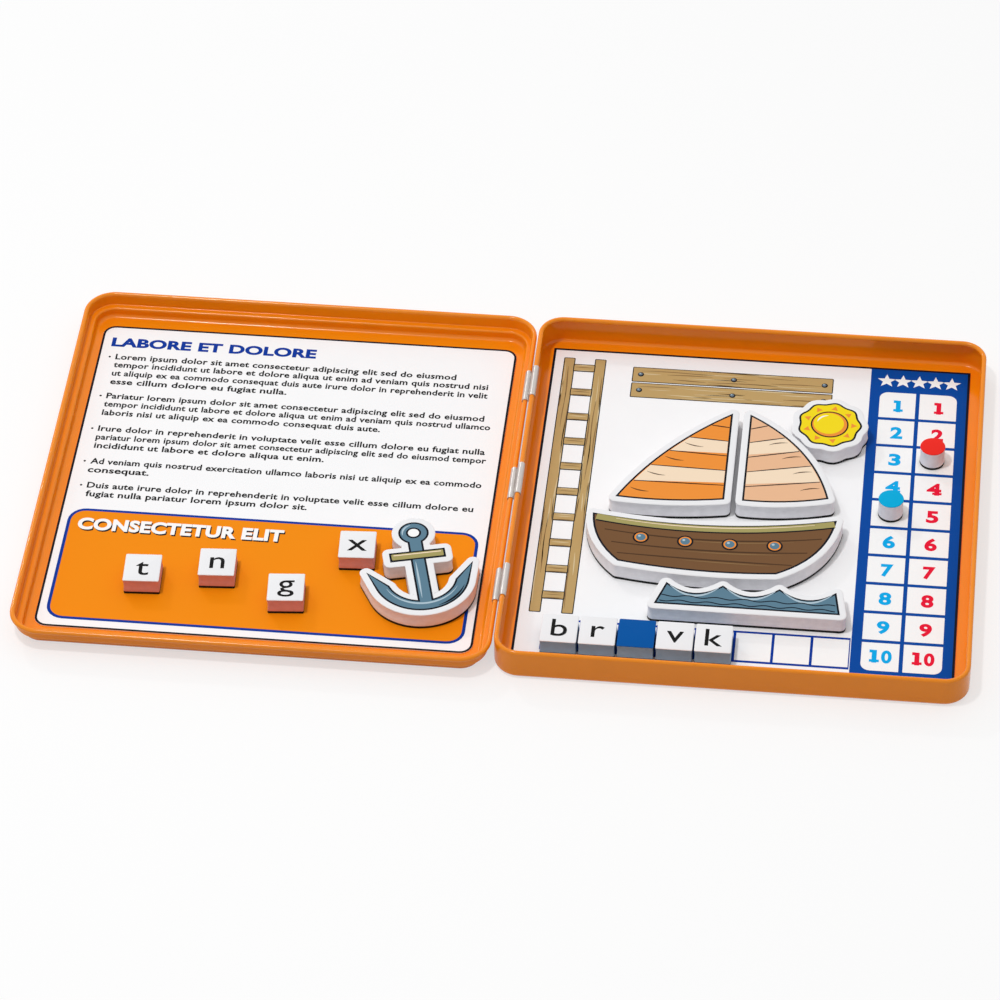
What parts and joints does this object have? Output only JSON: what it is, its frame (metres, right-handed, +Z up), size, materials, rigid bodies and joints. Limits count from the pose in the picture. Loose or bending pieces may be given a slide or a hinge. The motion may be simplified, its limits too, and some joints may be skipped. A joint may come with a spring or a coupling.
{
  "type": "travel word game case",
  "caption": "Flat hinged tin of a travel word game, lying open: deep tray with game board, stepped lid tray with rules card, and loose magnetic tiles, markers and picture pieces.",
  "frame": {"origin": "middle of the open case at table level, the bottom centre of its box", "axes": "+X along the case from the lid tray to the base tray, +Y to the back along the hinge, +Z up"},
  "size_m": [0.3707, 0.198, 0.0138],
  "materials": {
    "orange_tinplate": "glossy lacquer",
    "bare_tinplate": "bright rolled tinplate",
    "board_print": "printed satin card",
    "rules_print": "printed satin card",
    "white_foam": "closed-cell foam, die cut",
    "magnet_rubber": "flexible magnet sheet",
    "printed_face": "printed vinyl",
    "blue_face": "printed vinyl",
    "red_face": "printed vinyl",
    "sky_blue_face": "printed vinyl"
  },
  "bodies": {
    "base": {"base_tray": "orange_tinplate", "hinge_clip_rear": "bare_tinplate", "hinge_clip_middle": "bare_tinplate", "hinge_clip_front": "bare_tinplate", "board_card": "board_print"},
    "lid": {"lid_tray": "orange_tinplate", "rules_card": "rules_print"},
    "row_tile_1": {"row_tile_1_face": "printed_face", "row_tile_1_foam": "white_foam", "row_tile_1_magnet": "magnet_rubber"},
    "row_tile_2": {"row_tile_2_face": "printed_face", "row_tile_2_foam": "white_foam", "row_tile_2_magnet": "magnet_rubber"},
    "row_tile_3": {"row_tile_3_face": "blue_face", "row_tile_3_foam": "white_foam", "row_tile_3_magnet": "magnet_rubber"},
    "row_tile_4": {"row_tile_4_face": "printed_face", "row_tile_4_foam": "white_foam", "row_tile_4_magnet": "magnet_rubber"},
    "row_tile_5": {"row_tile_5_face": "printed_face", "row_tile_5_foam": "white_foam", "row_tile_5_magnet": "magnet_rubber"},
    "lid_tile_1": {"lid_tile_1_face": "printed_face", "lid_tile_1_foam": "white_foam", "lid_tile_1_magnet": "magnet_rubber"},
    "lid_tile_2": {"lid_tile_2_face": "printed_face", "lid_tile_2_foam": "white_foam", "lid_tile_2_magnet": "magnet_rubber"},
    "lid_tile_3": {"lid_tile_3_face": "printed_face", "lid_tile_3_foam": "white_foam", "lid_tile_3_magnet": "magnet_rubber"},
    "lid_tile_4": {"lid_tile_4_face": "printed_face", "lid_tile_4_foam": "white_foam", "lid_tile_4_magnet": "magnet_rubber"},
    "red_marker": {"red_marker_face": "red_face", "red_marker_foam": "white_foam", "red_marker_magnet": "magnet_rubber"},
    "blue_marker": {"blue_marker_face": "sky_blue_face", "blue_marker_foam": "white_foam", "blue_marker_magnet": "magnet_rubber"},
    "hull_picture": {"hull_picture_face": "printed_face", "hull_picture_foam": "white_foam", "hull_picture_magnet": "magnet_rubber"},
    "main_sail_picture": {"main_sail_picture_face": "printed_face", "main_sail_picture_foam": "white_foam", "main_sail_picture_magnet": "magnet_rubber"},
    "jib_sail_picture": {"jib_sail_picture_face": "printed_face", "jib_sail_picture_foam": "white_foam", "jib_sail_picture_magnet": "magnet_rubber"},
    "sun_picture": {"sun_picture_face": "printed_face", "sun_picture_foam": "white_foam", "sun_picture_magnet": "magnet_rubber"},
    "sea_picture": {"sea_picture_face": "printed_face", "sea_picture_foam": "white_foam", "sea_picture_magnet": "magnet_rubber"},
    "anchor_picture": {"anchor_picture_face": "printed_face", "anchor_picture_foam": "white_foam", "anchor_picture_magnet": "magnet_rubber"}
  },
  "joints": [
    {"name": "lid_hinge", "type": "hinge", "parent": "base", "child": "lid", "pos_m": [0.00115, 0, 0.00935], "axis": [0, 1, 0], "range_deg": [0, 180]},
    {"name": "row_tile_1_lift", "type": "slide", "parent": "base", "child": "row_tile_1", "axis": [0, 0, -1], "range_m": [-0.03, 0]},
    {"name": "row_tile_2_lift", "type": "slide", "parent": "base", "child": "row_tile_2", "axis": [0, 0, -1], "range_m": [-0.03, 0]},
    {"name": "row_tile_3_lift", "type": "slide", "parent": "base", "child": "row_tile_3", "axis": [0, 0, -1], "range_m": [-0.03, 0]},
    {"name": "row_tile_4_lift", "type": "slide", "parent": "base", "child": "row_tile_4", "axis": [0, 0, -1], "range_m": [-0.03, 0]},
    {"name": "row_tile_5_lift", "type": "slide", "parent": "base", "child": "row_tile_5", "axis": [0, 0, -1], "range_m": [-0.03, 0]},
    {"name": "lid_tile_1_lift", "type": "slide", "parent": "lid", "child": "lid_tile_1", "axis": [0, 0, -1], "range_m": [-0.03, 0]},
    {"name": "lid_tile_2_lift", "type": "slide", "parent": "lid", "child": "lid_tile_2", "axis": [0, 0, -1], "range_m": [-0.03, 0]},
    {"name": "lid_tile_3_lift", "type": "slide", "parent": "lid", "child": "lid_tile_3", "axis": [0, 0, -1], "range_m": [-0.03, 0]},
    {"name": "lid_tile_4_lift", "type": "slide", "parent": "lid", "child": "lid_tile_4", "axis": [0, 0, -1], "range_m": [-0.03, 0]},
    {"name": "red_marker_lift", "type": "slide", "parent": "base", "child": "red_marker", "axis": [0, 0, -1], "range_m": [-0.03, 0]},
    {"name": "blue_marker_lift", "type": "slide", "parent": "base", "child": "blue_marker", "axis": [0, 0, -1], "range_m": [-0.03, 0]},
    {"name": "hull_picture_lift", "type": "slide", "parent": "base", "child": "hull_picture", "axis": [0, 0, -1], "range_m": [-0.03, 0]},
    {"name": "main_sail_picture_lift", "type": "slide", "parent": "base", "child": "main_sail_picture", "axis": [0, 0, -1], "range_m": [-0.03, 0]},
    {"name": "jib_sail_picture_lift", "type": "slide", "parent": "base", "child": "jib_sail_picture", "axis": [0, 0, -1], "range_m": [-0.03, 0]},
    {"name": "sun_picture_lift", "type": "slide", "parent": "base", "child": "sun_picture", "axis": [0, 0, -1], "range_m": [-0.03, 0]},
    {"name": "sea_picture_lift", "type": "slide", "parent": "base", "child": "sea_picture", "axis": [0, 0, -1], "range_m": [-0.03, 0]},
    {"name": "anchor_picture_lift", "type": "slide", "parent": "lid", "child": "anchor_picture", "axis": [0, 0, -1], "range_m": [-0.03, 0]}
  ]
}
